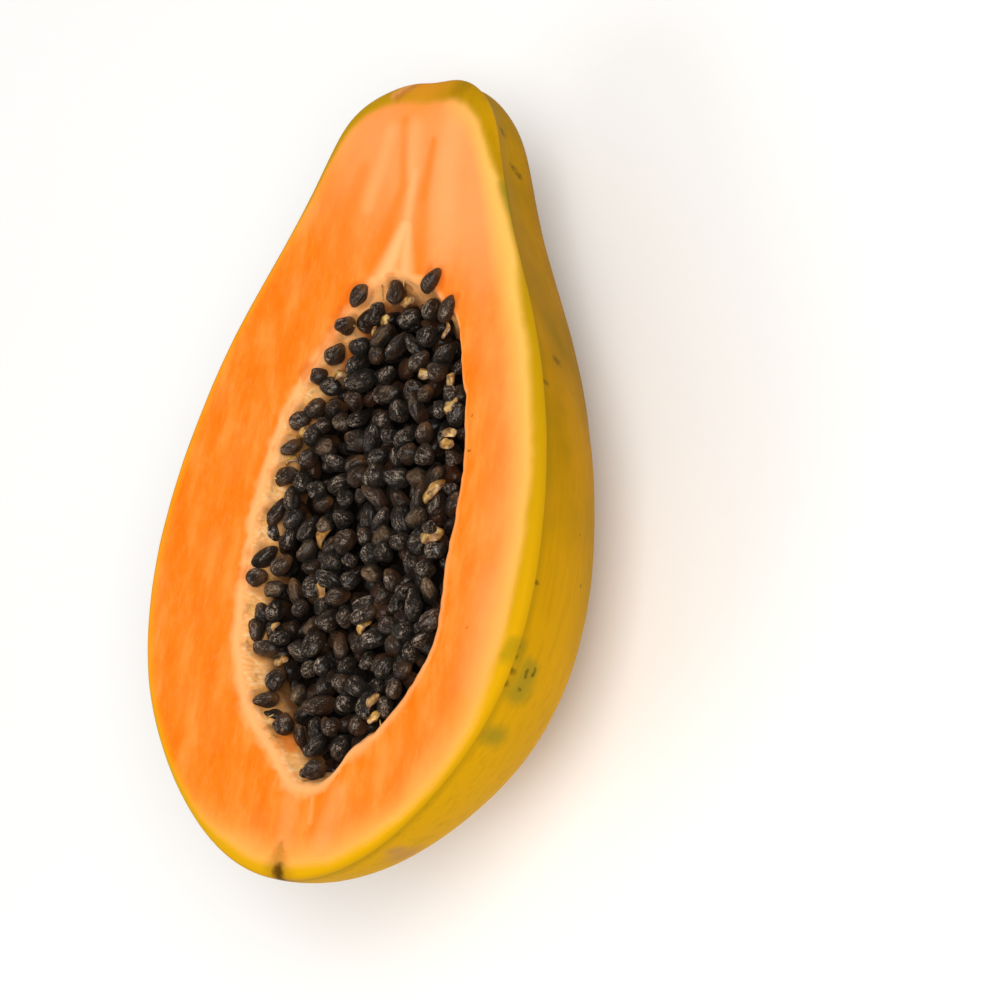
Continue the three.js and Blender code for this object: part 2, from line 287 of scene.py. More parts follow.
def body_colours(place, azimuth, rind, from_mouth, groove, starts):
    """Where the colours of the body lie, each from 0 to 1, with the two distances that the finishes
    read. place holds the points; rind is how far in from the outer edge each lies, and from_mouth
    how far out from the mouth, in millimetres over the surface. starts are the first rows of the
    wall, mouth, face, rim and skin, and groove is the skin's own."""
    x, y, z = np.moveaxis(place, -1, 0)
    side = 0.5 + 0.5 * np.cos(azimuth - SUNNY_SIDE)
    low_end = np.exp(-((y + 112) / 15) ** 2)

    # The golden rind and the paler flesh inside it, broadest on the right and at the low end, with
    # a gilt edge on the left and an olive hood by the stem.
    wobble = 0.45 * clouds(place, 9, 9) + 0.25 * clouds(place, 3, 12)
    depth = rind + wobble - 3.0 - 1.8 * side - bells(azimuth, BAND_WAVES)
    band = 1 - ramp(depth, -1.8 - side, 1.2)
    share = np.clip(1 - depth / (9 + bells(azimuth, ((36, 24, 5),))), 0, 1) ** 1.3
    pale = share * np.clip(1.3 * side - 0.15 + low_end - bells(azimuth, ((94, 16, 1),)), 0, 1)
    gilt = (1 - side) * (1 - ramp(rind, 2.4, 7))
    hood = bells(azimuth, ((66, 26, 1.2),)).clip(0, 1) * band
    ripe = ramp(wobble * 3 - y, -60, 110)
    # Painted light: more golden on the right towards the stem, by the rim and on the skin just
    # below it.
    ripe = ripe + 0.35 * side ** 2 * ramp(y, 70, 105) * (1 - ramp(rind, -9, -30))

    # Softer, pinker flesh: in clouds and on the right, and not by the mouth; towards the stem on
    # the right it is painted light.
    soft = 0.45 * side ** 2 + (0.1 + 0.25 * side) * clouds(place, 34, 14)
    soft = (soft + 0.24 * clouds(place, 11, 20)) * ramp(from_mouth, 1, 20)
    # painted light: lighter towards the stem on the right
    soft = np.clip(soft + 0.9 * ramp(y, 40, 100) * side, 0, 1)

    # Cream flesh in a frayed collar round the mouth, broader at its lower tip, and in strands.
    tip = np.exp(-((y + 86) / 12) ** 2)
    frayed = 1 + 0.6 * clouds(place, 3, 9) + 0.4 * clouds(place, 1.3, 10)
    collar = 1 - ramp(from_mouth / frayed, -0.8, 1.0 + 1.6 * (1 - side) + tip)
    cream = np.maximum(marks(place, PALE_STRANDS), collar * (0.76 - 0.4 * side ** 3))

    # Painted shadow of the seeds at the edge of the heap, with torn brown lining round them: how
    # near the next one is.
    near_mouth = place[:starts[2] + SHADE_AND_STAIN_ROWS]
    edge_seeds = np.array([seed[:3] for seed in EDGE_SEEDS])
    gap = np.linalg.norm(near_mouth[..., None, :] - edge_seeds, axis=-1).min(-1) - SEED_HALF_WIDTH
    seed_shade_and_stain = np.zeros_like(rind)
    seed_shade_and_stain[:len(near_mouth)] = 1 - ramp(gap + 1.6 * clouds(near_mouth, 2.2, 17), 0.2, 3.0)

    # Bruises and blush stay on the rim and the skin just below it.
    on_rim = ramp(z, -8, -4)
    patchy = (0.8 + 0.6 * clouds(place, 3, 16)).clip(0, 1)
    grooves = np.zeros_like(rind)
    grooves[starts[4]:] = groove
    stem = np.exp(-(np.hypot(x - 1, np.maximum(0, 116 - y)) / 9) ** 2)

    fields = {
        "rind": rind, "mouth": from_mouth, "ripe": ripe, "band": band, "pale": pale, "gilt": gilt,
        "hood": hood, "soft": soft, "cream": cream, "ember": marks(place, DEEP_STRANDS),
        "groove": grooves, "stem": stem, "seed_shade_and_stain": seed_shade_and_stain,
        "olive": on_rim * marks(place, OLIVE_STRANDS) * patchy,
        "blush": on_rim * marks(place, BLUSH_STRANDS),
    }
    # At the cavity's floor and at the middle of the back all but these are 0.
    floor = {"rind": FAR, "mouth": from_mouth[0].mean(), "ripe": 0.5}
    back = {"rind": rind[-1].mean(), "mouth": FAR, "ripe": 0.5}
    return {name: np.concatenate([[floor.get(name, 0)], values.ravel(), [back.get(name, 0)]])[None]
            for name, values in fields.items()}


def papaya_body(finishes):
    """Skin, flesh and cavity as one closed surface: rows up the cavity wall from its floor, round
    the mouth, out across the cut face, over the rounded cut edge and down the skin to the middle
    of the back."""
    azimuth = np.linspace(0, 2 * np.pi, AROUND, endpoint=False)[None]
    inset = mouth_inset(azimuth)

    # Wall: the dip falls fast at first and the rows crowd towards the mouth. It has fine lumps.
    top_dip = np.arcsin(MOUTH_ROUND / CAVITY_DEPTH)
    share = np.linspace(0, 1, WALL_ROWS)[:, None]
    dip = top_dip + (np.pi / 2 - top_dip) * (1 - share) ** 1.5
    bare = cavity_point(azimuth, dip, inset)
    lumps = 0.5 * clouds(bare, 5, 5) + 0.28 * clouds(bare, 2, 6)
    slope = LINING_SLOPE * (0.5 - 0.5 * np.cos(azimuth - STEEP_SIDE)) ** 0.7
    depth = -bare[..., 2]
    narrow = inset + slope * ramp(depth, -3, 9) + lumps * ramp(depth, 0.8, 5)
    wall = cavity_point(azimuth, dip, narrow)

    # Rim: a quarter ellipse from the skin up and in to the cut face.
    nudge = 0.01  # radians to either side, for the way the edge runs
    edge, ahead, behind = (skin_point(azimuth + by, 0 * azimuth)[0] for by in (0, nudge, -nudge))
    tangent = (ahead - behind)[..., :2]
    tangent = tangent / np.linalg.norm(tangent, axis=-1, keepdims=True)
    inward = np.stack([-tangent[..., 1], tangent[..., 0], 0 * azimuth], -1)
    bend = np.linspace(np.pi / 2, 0, RIM_ROWS + 1)[:, None, None]
    width = (RIM_WIDTH + bells(azimuth, RIM_WAVES))[..., None]
    rim = edge + inward * width * (1 - np.cos(bend))
    rim[..., 2] = RIM_DROP * (np.sin(bend[..., 0]) - 1)

    # Mouth and face: the mouth bends over from the wall, and the face runs out to the rim.
    lip = cavity_point(azimuth, 0 * azimuth, inset)
    out = rim[0] - lip
    reach = np.linalg.norm(out, axis=-1, keepdims=True)
    landing = lip + out / reach * MOUTH_ROUND
    t = np.linspace(0, 1, MOUTH_ROWS + 1)[1:-1, None, None]
    mouth = (1 - t) ** 2 * wall[-1:] + 2 * t * (1 - t) * lip + t ** 2 * landing
    t = np.linspace(0, 1, FACE_ROWS, endpoint=False)[:, None, None]
    face = landing + (rim[:1] - landing) * t
    # The knife leaves the face flat to a tenth of a millimetre or so.
    ripple = 0.16 * clouds(face, 16, 7) + 0.06 * clouds(face * (1, 0.3, 1), 4, 8)
    face[..., 2] += ripple * np.sin(np.pi * t[..., 0]) ** 0.5

    dip = np.linspace(0, np.pi / 2, SKIN_ROWS, endpoint=False)[1:, None]
    skin, groove = skin_point(azimuth, dip)

    parts = wall[1:], mouth, face, rim, skin
    starts = np.cumsum([0] + [len(part) for part in parts])
    rings = np.concatenate(parts)[None]
    first = wall[:1, 0]
    last = skin_point(np.zeros(1), np.full(1, np.pi / 2))[0]

    # Distances over the surface, in millimetres: in from the outer edge, and out from the mouth.
    chord = np.linalg.norm(np.diff(rings[0], axis=0), axis=-1)
    run = np.concatenate([np.zeros((1, AROUND)), np.cumsum(chord, 0)])
    rind = run[starts[4] - 1] - run
    from_mouth = run - run[starts[2]]

    # The flat spot that the half rests on, pressed level.
    for points in (rings, last):
        low = at_rest(points)[..., 2] * 1000
        points[..., 2] += np.maximum(0, -low) / np.cos(TILT)

    fields = body_colours(rings[0], azimuth, rind, from_mouth, groove, starts)
    row_finish = np.full(rings.shape[1] - 1, SKIN)
    row_finish[:starts[4] - 1] = FLESH
    row_finish[:starts[1] + MOUTH_ROWS // 3] = LINING
    return shells("papaya_body", first, rings, last, finishes, fields, row_finish)


# -------- the seeds

SEED_HALF_LENGTH = 3.7
SEED_HALF_WIDTH = 2.95
SEED_FLAT = 0.94  # a seed's thickness against its width
SEED_EGG = 0.16  # how much fatter one end of a seed is
SEED_DENT = 0.62
SEED_FOLD = 0.22
SEED_PITCH = 6.9
SEED_STRAY = 1.4
SEED_LIFT = 1.6
SEED_LEVEL = -4.9
SEED_SLOPE = 0.02
SEED_LEFT_REACH = 2.5  # the top rows come this much nearer to the left wall, the lower ones less
ROW_BOW = 2.6  # the rows of seeds wind this far from straight
ROW_RUN = 13
EDGE_SEED_GAP = 4.6  # no seed of the rows lies nearer than this to one that is listed
LOWER_DROP = 3.8  # the lower layer lies this far below the top one, and to the side of it
LOWER_SHIFT = (SEED_PITCH / 2, 2.1)
BED_DROP = 6.5  # the bed's top lies this far below the top layer
BED_GAP = 2  # the bed keeps this far off the wall as it first curved
# Where the keys of the scattered numbers start for each kind.
TOP_KEY, EDGE_KEY, PULP_KEY, THREAD_KEY, LOWER_KEY = 0, 4000, 5000, 7000, 9000

# Seeds at the edge of the heap: x, y and height of the middle, turn in degrees, length against the
# usual one, and how brown the seed is.
EDGE_SEEDS = (
    (17.6, 55.0, 0.6, 60, 1.15, 0.9), (-9.2, 51.7, -0.6, 48, 1.1, 0.95),
    (2.0, 53.6, -3.0, 95, 1.1, 0.8), (24.2, 47.1, -0.4, 78, 1.2, 0.95),
    (15.2, 48.2, -4.2, 70, 0.95, 0.5), (-3.6, 47.2, -3.2, 80, 0.95, 0.5),
    (9.0, 45.2, -2.6, 30, 1.0, 0.1), (16.2, 40.0, -3.4, 80, 0.9, 0.4),
    (-13.6, 43.5, -1.8, 20, 0.95, 0.85), (0.3, 40.1, -2.4, 48, 1.2, 0.35),
    (6.4, 37.3, -2.6, 62, 1.3, 0.6), (-7.7, 37.5, -3.0, 15, 0.95, 0.1),
    (-16.1, 35.2, -2.8, 60, 1.0, 0.75), (14.9, 32.8, -3.0, 40, 1.1, 0.6),
    (23.5, 34.7, -3.5, 50, 1.1, 0.4), (-21.4, 29.5, -2.8, 110, 0.95, 0.95),
    (-24.7, 15.8, -3.0, 30, 1.0, 0.8), (-26.2, 7.9, -3.0, 20, 1.0, 0.9),
    (-26.9, -0.6, -3.6, 15, 1.3, 0.7), (-27.6, -11.2, -3.6, 60, 1.3, 0.7),
    (-29.0, -24.6, -3.4, 50, 1.3, 0.5), (-19.4, 11.6, -3.8, 80, 1.0, 0.7),
    (-20.2, 5.0, -4.2, 60, 0.95, 0.8), (-20.6, -2.0, -4.0, 110, 1.0, 0.2),
    (-22.4, -7.4, -3.0, 100, 1.1, 0.4), (-21.2, -13.2, -4.0, 40, 1.0, 0.3),
    (-22.0, -18.6, -4.4, 70, 0.95, 0.4), (-22.6, -26.4, -4.0, 45, 1.05, 0.9),
    (-23.4, -33.4, -4.0, 5, 1.0, 0.4), (-22.4, -39.6, -4.4, 95, 0.95, 0.1),
    (-18.0, -47.6, -3.8, 20, 1.0, 0.4), (-16.4, -59.4, -4.0, 60, 1.0, 0.6),
    (-29.8, -30.5, -2.5, 10, 1.0, 0.85), (-22.3, -50.6, -3.5, 0, 1.15, 0.9),
    (-18.6, -65.4, -3.5, 20, 1.15, 0.9), (-10.8, -71.7, -4.0, 80, 0.9, 0.8),
    (1.8, -76.9, -4.2, 60, 1.2, 0.2), (10.7, -77.3, -4.5, 75, 1.0, 0.3),
    (4.8, -84.1, -2.8, 30, 1.0, 0.6),
)


def seed_rows(level, shift, start_key, left_reach):
    """Middles of one layer, and a key for each seed: staggered rows that wind to and fro, each
    seed strayed from its place and kept off the wall. level is the layer's height at x = 0, shift
    moves the rows, and left_reach brings them nearer to the left wall."""
    row_step = SEED_PITCH * np.sqrt(3) / 2
    rows = int(np.ceil(CAVITY_HALF_LENGTH / row_step))
    columns = int(np.ceil(CAVITY_HALF_WIDTH / SEED_PITCH)) + 1
    row, column = np.mgrid[-rows:rows + 1, -columns:columns + 1].reshape(2, -1)
    key = start_key + 100 * (row + rows) + column + columns
    straight, step = SEED_PITCH * (column + row % 2 / 2), row_step * row
    stray = SEED_STRAY * (2 * scatter(key + np.array([[0], [0.25]])) - 1)
    across = straight + ROW_BOW * np.sin(step / ROW_RUN) + stray[0] + shift[0]
    along = step + ROW_BOW * np.sin(straight / ROW_RUN + 1) + stray[1] + shift[1]
    azimuth = np.arctan2(along / CAVITY_HALF_LENGTH, across / CAVITY_HALF_WIDTH)
    narrow = bells(azimuth, MOUTH_WAVES) - np.where(across < 0, left_reach, 0)
    reach = np.hypot(
        across / (CAVITY_HALF_WIDTH - SEED_HALF_WIDTH - narrow),
        along / (CAVITY_HALF_LENGTH - SEED_HALF_LENGTH - narrow),
    )
    x = CAVITY_X + CAVITY_SLANT * along + CAVITY_BOW * (along / CAVITY_HALF_LENGTH) ** 2 + across
    z = level + SEED_SLOPE * x + SEED_LIFT * (2 * scatter(key + 0.5) - 1)
    return np.stack([x, CAVITY_Y + along, z], -1)[reach < 1], key[reach < 1]


def ball_grid(key, rows, steps, row_key, step_key):
    """For balls of this many rows and steps: the polar angle of each row, the turn of each step,
    and a key for each point."""
    t = np.linspace(0, np.pi, rows + 2)[1:-1][None, :, None]
    a = np.linspace(0, 2 * np.pi, steps, endpoint=False)[None, None, :]
    key = key[:, None, None] + row_key * np.arange(rows)[None, :, None]
    return t, a, key + step_key * np.arange(steps)


def ball_points(along, radius, a, end):
    """The points of balls that lie along X, from how far along and how far out each is. Their first
    and last points are this end and its opposite."""
    points = np.stack([along + 0 * radius, radius * np.cos(a), radius * np.sin(a)], -1)
    points = points.reshape(len(points), -1, 3)
    ends = np.tile((end, 0.0, 0.0), (len(points), 1, 1))
    return np.concatenate([ends, points, -ends], 1)


def balls(name, points, rows, finish, fields):
    """One piece of smooth balls from their points."""
    rings = points[:, 1:-1].reshape(len(points), rows, -1, 3)
    piece = shells(name, points[:, 0], rings, points[:, -1], [finish], fields)
    smooth = piece.modifiers.new("smooth", "SUBSURF")
    smooth.levels = smooth.render_levels = 1
    return piece


def egg_seeds(name, middles, key, finish, placed=None, sunk_shade=0, rows=6, steps=9):
    """Egg-shaped pips with a wrinkled skin. On a unit egg the radius at polar angle t is
    sin t (1 - SEED_EGG cos t); it is dented by scattered amounts, pressed in folds along the seed,
    scaled to the seed and turned. placed holds the turn, length and brownness of the last seeds,
    and sunk_shade lowers the crown of seeds that lie deep, for painted shade on them."""
    count = len(middles)
    # How large each is against the usual seed, and how long for its width.
    size = 0.84 + 0.34 * scatter(key + 0.75)
    stretch = 0.88 + 0.45 * scatter(key + 0.66) ** 2
    t, a, knot = ball_grid(key, rows, steps, 0.013, 0.171)
    folds, phase = 2 + np.round(2 * scatter(key + 0.2)), 6.3 * scatter(key + 0.6)
    fold = np.cos(folds[:, None, None] * a + phase[:, None, None])
    dent = 1 + SEED_DENT * (scatter(knot) - 0.5) + SEED_FOLD * fold
    radius = np.sin(t) * (1 - SEED_EGG * np.cos(t)) * dent
    along = np.cos(t) * (1 + 0.04 * (scatter(knot + 0.5) - 0.5))
    unit = ball_points(along, radius, a, 1.02)
    tip = 1.5 * (scatter(key + 0.1) - 0.5) + np.where(scatter(key + 0.81) > 0.75, 0.6, 0)
    turn, brown = np.pi * scatter(key + 0.35), scatter(key + 0.57)
    if placed is not None:
        edge = slice(-len(placed), None)
        tip[edge], size[edge], stretch[edge] = 0.2 * tip[edge], 1, placed[:, 1]
        turn[edge], brown[edge] = np.radians(placed[:, 0]), placed[:, 2]
    half_sizes = (SEED_HALF_LENGTH, SEED_HALF_WIDTH, SEED_HALF_WIDTH * SEED_FLAT)
    unit = unit * half_sizes * size[:, None, None]
    unit[..., 0] *= stretch[:, None]
    unit[..., 1:] /= np.sqrt(stretch[:, None, None])

    own = unit + (23.1 * scatter(key + 0.31))[:, None, None]
    end = unit[..., 0] / (SEED_HALF_LENGTH * (size * stretch)[:, None])

    # Each seed rolls about its own length, then tips and turns as it lies.
    roll = 6.3 * scatter(key + 0.9)
    turned = unit
    for angle, (i, j) in ((roll, (1, 2)), (tip, (2, 0)), (turn, (0, 1))):
        c, s = np.cos(angle)[:, None], np.sin(angle)[:, None]
        mixed = turned.copy()
        mixed[..., i] = c * turned[..., i] - s * turned[..., j]
        mixed[..., j] = s * turned[..., i] + c * turned[..., j]
        turned = mixed
    crown = turned[..., 2] / (SEED_HALF_WIDTH * size[:, None])
    points = turned + middles[:, None]

    # How far each point is from the next seed: painted shade darkens the cracks between seeds.
    apart = np.linalg.norm(points[:, :, None] - middles, axis=-1) - SEED_HALF_WIDTH * size
    apart[np.arange(count), :, np.arange(count)] = FAR
    crevice_shade = 1 - ramp(apart.min(-1), -0.2, 2.9)
    fields = {"tone": scatter(key + 0.42), "brown": brown, "crown": crown - sunk_shade, "own": own,
              "end": end, "crevice_shade": crevice_shade}
    return balls(name, points, rows, finish, fields)


def seed_bed(finish):
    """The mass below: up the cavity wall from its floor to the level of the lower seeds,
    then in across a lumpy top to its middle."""
    steps, wall_rows, top_rows = 120, 16, 32
    azimuth = np.linspace(0, 2 * np.pi, steps, endpoint=False)[None]
    level = SEED_LEVEL - BED_DROP + SEED_SLOPE * (CAVITY_X + CAVITY_HALF_WIDTH * np.cos(azimuth))
    end = np.arcsin(-level / (CAVITY_DEPTH - BED_GAP))
    share = np.linspace(0, 1, wall_rows + 1)[1:, None]
    wall = cavity_point(azimuth, np.pi / 2 + (end - np.pi / 2) * share, BED_GAP)
    middle = wall[-1].mean(0)
    share = np.linspace(1, 0, top_rows + 2)[1:-1, None, None]
    top = middle + (wall[-1:] - middle) * share
    top[..., 2] += 1.1 * clouds(top, 4.5, 11)
    # Seen from below its floor the steps run the other way, so they are turned round.
    rings = np.concatenate([wall, top])[None, :, ::-1]
    floor = cavity_point(np.zeros(1), np.full(1, np.pi / 2), BED_GAP)
    own = np.concatenate([floor, rings.reshape(-1, 3), middle[None]])[None]
    # The bed is near black all over: painted shade under the seeds.
    plain = {"tone": 0.1, "brown": 0.2, "crown": -1.0, "end": 0.0, "crevice_shade": 1.0}
    fields = {key: np.full(1, value) for key, value in plain.items()}
    return shells("seed_bed", floor, rings, middle[None], [finish], fields | {"own": own})


# Torn bits of pulp between the seeds: x, y, length, turn in degrees, paleness.
PULP_BITS = (
    (7.3, 50.3, 5.5, 20, 0.45), (-0.5, 44.6, 4.5, 60, 0.9), (-3.1, 41.4, 4.0, 80, 0.5),
    (-13.7, 29.1, 6.0, 10, 0.7), (18.0, 29.0, 6.5, 5, 1.0), (29.6, 19.9, 6.0, 70, 0.7),
    (23.2, 41.1, 5.0, 80, 0.4), (-12.3, 46.9, 5.5, 50, 0.6), (-24.0, 12.1, 6.0, 20, 0.5),
    (-26.6, 4.1, 5.0, 20, 0.8), (-9.0, -17.7, 7.5, 70, 0.1), (31.0, 11.9, 4.5, 20, 0.9),
    (31.0, 8.5, 5.0, 10, 0.5), (28.6, -4.9, 8.5, 50, 0.7), (30.4, -17.1, 8.0, 15, 0.8),
    (-5.8, -32.6, 8.0, 78, 0.2), (12.1, -43.5, 5.0, 60, 0.95), (20.5, -64.0, 5.0, 70, 0.7),
    (22.0, -68.6, 5.0, 45, 0.9), (-15.9, -53.9, 5.5, 20, 0.4), (-21.1, -44.9, 5.5, 40, 0.8),
    (28.0, 27.0, 5.0, 80, 0.8),
)
PULP_RISE = 1.7  # above the middles of the top seeds


def pulp_bits(finish, rows=9, steps=12):
    """Torn crumpled lumps pressed in between the seeds: unit spheres with a scattered radius, made
    as long and wide as the bit, flattened, bent by a sine, and crumpled by clouds of 2 mm."""
    x, y, length, turn, paleness = np.array(PULP_BITS, float).T[..., None]
    key = np.arange(len(x)) + PULP_KEY
    t, a, knot = ball_grid(key, rows, steps, 0.017, 0.191)
    radius = np.sin(t) * (1 + 0.9 * (scatter(knot) - 0.5))
    unit = ball_points(np.cos(t), radius, a, 1.0)
    half = length[:, 0] / 2
    half_sizes = np.stack([half, half * (0.42 + 0.3 * scatter(key + 0.2)), 0 * half + 0.5], -1)
    lump = unit * half_sizes[:, None]
    lump[..., 2] += 0.6 * np.sin(lump[..., 0] * 1.1 + key[:, None]) - 0.12 * lump[..., 0] ** 2
    c, s = np.cos(np.radians(turn)), np.sin(np.radians(turn))
    level = SEED_LEVEL + SEED_SLOPE * x + PULP_RISE
    points = np.stack([
        c * lump[..., 0] - s * lump[..., 1] + x,
        s * lump[..., 0] + c * lump[..., 1] + y,
        lump[..., 2] + level + 0.9 * scatter(key + 0.4)[:, None],
    ], -1)
    crumple = np.stack([clouds(points, 2, seed) for seed in (17, 18, 19)], -1)
    fields = {"paleness": paleness[:, 0], "crown": unit[..., 2]}
    return balls("pulp_bits", points + (0.6, 0.6, 0.35) * crumple, rows, finish, fields)


def lining_threads(finish):
    """The threads that held the seeds: thin tapered tubes from the wall, each a bent path with a
    ring carried along it."""
    count, steps, rows = 36, 5, 6
    key = np.arange(count) + THREAD_KEY
    azimuth = np.radians(95 + 215 * scatter(key))
    depth = np.radians(3 + 14 * scatter(key + 0.3))
    root = cavity_point(azimuth, depth, mouth_inset(azimuth))
    inner = np.array([CAVITY_X, CAVITY_Y, -10.0])
    stray = np.stack([0 * key, scatter(key + 0.5) - 0.5, scatter(key + 0.6) - 0.7], -1)
    toward = (inner - root) * (1, 0.35, 0.4) + 8 * stray * (1, 1.4, 1)
    toward = toward / np.linalg.norm(toward, axis=-1, keepdims=True)
    length = 2.0 + 3.5 * scatter(key + 0.7)
    share = np.linspace(0, 1, rows)[None, :, None]
    sag = np.stack([0 * key, 1.2 * (scatter(key + 0.8) - 0.5), -0.9 * scatter(key + 0.2)], -1)
    path = root[:, None] - toward[:, None] * 0.4 + toward[:, None] * length[:, None, None] * share
    path = path + sag[:, None] * share ** 2
    side = np.cross(toward, (0.0, 0.0, 1.0))
    side = side / np.linalg.norm(side, axis=-1, keepdims=True)
    over = np.cross(side, toward)
    a = np.linspace(0, 2 * np.pi, steps, endpoint=False)[None, None, :, None]
    thick = (0.34 - 0.2 * share[..., None]) * (0.6 + 0.8 * scatter(key + 0.9))[:, None, None, None]
    around = np.cos(a) * side[:, None, None] - np.sin(a) * over[:, None, None]
    rings = path[:, :, None] + thick * around
    cap = toward * 0.1
    return shells("lining_threads", path[:, 0] - cap, rings, path[:, -1] + cap, [finish],
                  {"paleness": scatter(key + 0.4), "crown": np.ones(count)})


# -------- finishes

# Patterns are in millimetres: a noise whose Scale is 1 / 8 has clouds about 8 mm across. A MapRange
# reads 1 to 2 and gives 3 to 4. A Mix goes by the share 0 from colour 6 to 7, or number 2 to 3.


def linear(code):
    """An sRGB hex code as linear red, green, blue and alpha."""
    parts = [int(code[i:i + 2], 16) / 255 for i in (1, 3, 5)]
    return [p / 12.92 if p <= 0.04045 else ((p + 0.055) / 1.055) ** 2.4 for p in parts] + [1.0]


def add(tree, kind, inputs=(), stops=(), **settings):
    """Adds a node: settings are its own, and stops are the places and colours of a colour ramp.
    inputs give each socket a value, a link, a colour, or the name of one of the mesh's fields."""
    made = tree.nodes.new("ShaderNode" + kind)
    for key, value in settings.items():
        setattr(made, key, value)
    for key, value in dict(inputs).items():
        if isinstance(value, str) and value[0] != "#":
            field = add(tree, "Attribute", attribute_name=value)
            value = field.outputs["Vector" if key == "Vector" else "Fac"]
        if isinstance(value, bpy.types.NodeSocket):
            tree.links.new(value, made.inputs[key])
        else:
            made.inputs[key].default_value = linear(value) if isinstance(value, str) else value
    for i, (position, colour) in enumerate(stops):
        stop = made.color_ramp.elements[i] if i < 2 else made.color_ramp.elements.new(position)
        stop.position, stop.color = position, linear(colour)
    return made


def new_finish(name, **sockets):
    """A material with its shader's uniform values set, and its node tree."""
    finish = bpy.data.materials.new(name)
    finish.use_nodes = True
    shader = finish.node_tree.nodes["Principled BSDF"]
    for key, value in sockets.items():
        shader.inputs[key.replace("_", " ").title().replace("Ior", "IOR")].default_value = value
    return finish, finish.node_tree


def dress(finish, colour, layers, relief, strength, depth):
    """Lays layers over a colour, and adds fine relief of this strength and depth in metres. A layer
    is a share and its colour, or a value, two ends of its range, the shares there and a colour."""
    tree = finish.node_tree
    shader = tree.nodes["Principled BSDF"]
    for share, *span, over in layers:
        if span:
            share = add(tree, "MapRange", enumerate([share, *span])).outputs[0]
        colour = add(tree, "Mix", {0: share, 6: colour, 7: over}, data_type="RGBA").outputs[2]
    tree.links.new(colour, shader.inputs["Base Color"])
    bump = add(tree, "Bump", {"Height": relief, "Strength": strength, "Distance": depth})
    tree.links.new(bump.outputs[0], shader.inputs["Normal"])
    return finish


def spots(tree, middles, strength):
    """A share for soft ragged spots: the strength in the middle of each, eased to 0 at 1.5 times
    its radius. A spot with a second end runs along the line between them. Height counts for half,
    so that a spot wraps over the rounded rim, and noise moves each point by up to a millimetre."""
    nearest = None
    place = add(tree, "Attribute", attribute_name="place").outputs["Vector"]
    flat = add(tree, "TexNoise", {"Vector": place, "Scale": 1 / 1.6, "Detail": 2}).outputs["Color"]
    for operation, inputs in (
        ("MULTIPLY_ADD", {1: (2, 2, 2), 2: place}),
        ("SUBTRACT", {1: (1, 1, 1)}),
        ("MULTIPLY", {1: (1, 1, 0.5)}),
    ):
        flat = add(tree, "VectorMath", {0: flat, **inputs}, operation=operation).outputs[0]
    for x, y, z, radius, *far in middles:
        start = Vector((x, y, z / 2))
        gap = add(tree, "VectorMath", {0: flat, 1: start}, operation="DISTANCE").outputs["Value"]
        if far:
            way = Vector((far[0], far[1], far[2] / 2)) - start
            offset = add(tree, "VectorMath", {0: flat, 1: start}, operation="SUBTRACT").outputs[0]
            share = add(tree, "VectorMath", {0: offset, 1: way / way.length_squared},
                        operation="DOT_PRODUCT").outputs["Value"]
            share = add(tree, "Clamp", {0: share}).outputs[0]
            foot = add(tree, "VectorMath", {0: way, "Scale": share}, operation="SCALE").outputs[0]
            gap = add(tree, "VectorMath", {0: offset, 1: foot},
                      operation="DISTANCE").outputs["Value"]
            radius = add(tree, "Math", {0: share, 1: far[3] - radius, 2: radius},
                         operation="MULTIPLY_ADD").outputs[0]
        share = add(tree, "Math", {0: gap, 1: radius}, operation="DIVIDE").outputs[0]
        if nearest is not None:
            share = add(tree, "Math", {0: nearest, 1: share}, operation="MINIMUM").outputs[0]
        nearest = share
    return add(tree, "MapRange", {0: nearest, 1: 0.2, 2: 1.5, 3: strength, 4: 0},
               interpolation_type="SMOOTHSTEP").outputs[0]


# Spots: x, y, z and radius, and the same for the other end of a long one.

# Rust across the stem scar, and a dark spot at its top.
STEM_RUST = ((-3.8, 114.6, -1.4, 1.2, -8.2, 111.2, 0, 1.6), (-2.6, 116.2, -3.0, 1.6))
# The blossom scar: a dark spot in a soft brown smear that runs up into the flesh.
SCAR_SMEAR = ((-0.3, -106.0, 0, 1.6, -0.2, -113.0, -0.8, 5.2),)
SCAR_CORE = ((0.2, -112.4, -0.4, 1.9, -0.3, -114.2, -1.4, 2.1),)
# Small dark specks in the cut flesh on the right.
SPECKS = ((41.2, 5.9, 0, 0.6), (40.1, 15.8, 0, 0.4), (51.4, -43.3, 0, 0.4))


def end_scars(tree):
    """Layers for the scars at both ends, which cross from the flesh to the skin."""
    return (
        (spots(tree, STEM_RUST, 0.55), "#A86018"),
        (spots(tree, SCAR_SMEAR, 0.55), "#9A6A18"),
        (spots(tree, SCAR_CORE, 0.92), "#4E3004"),
    )


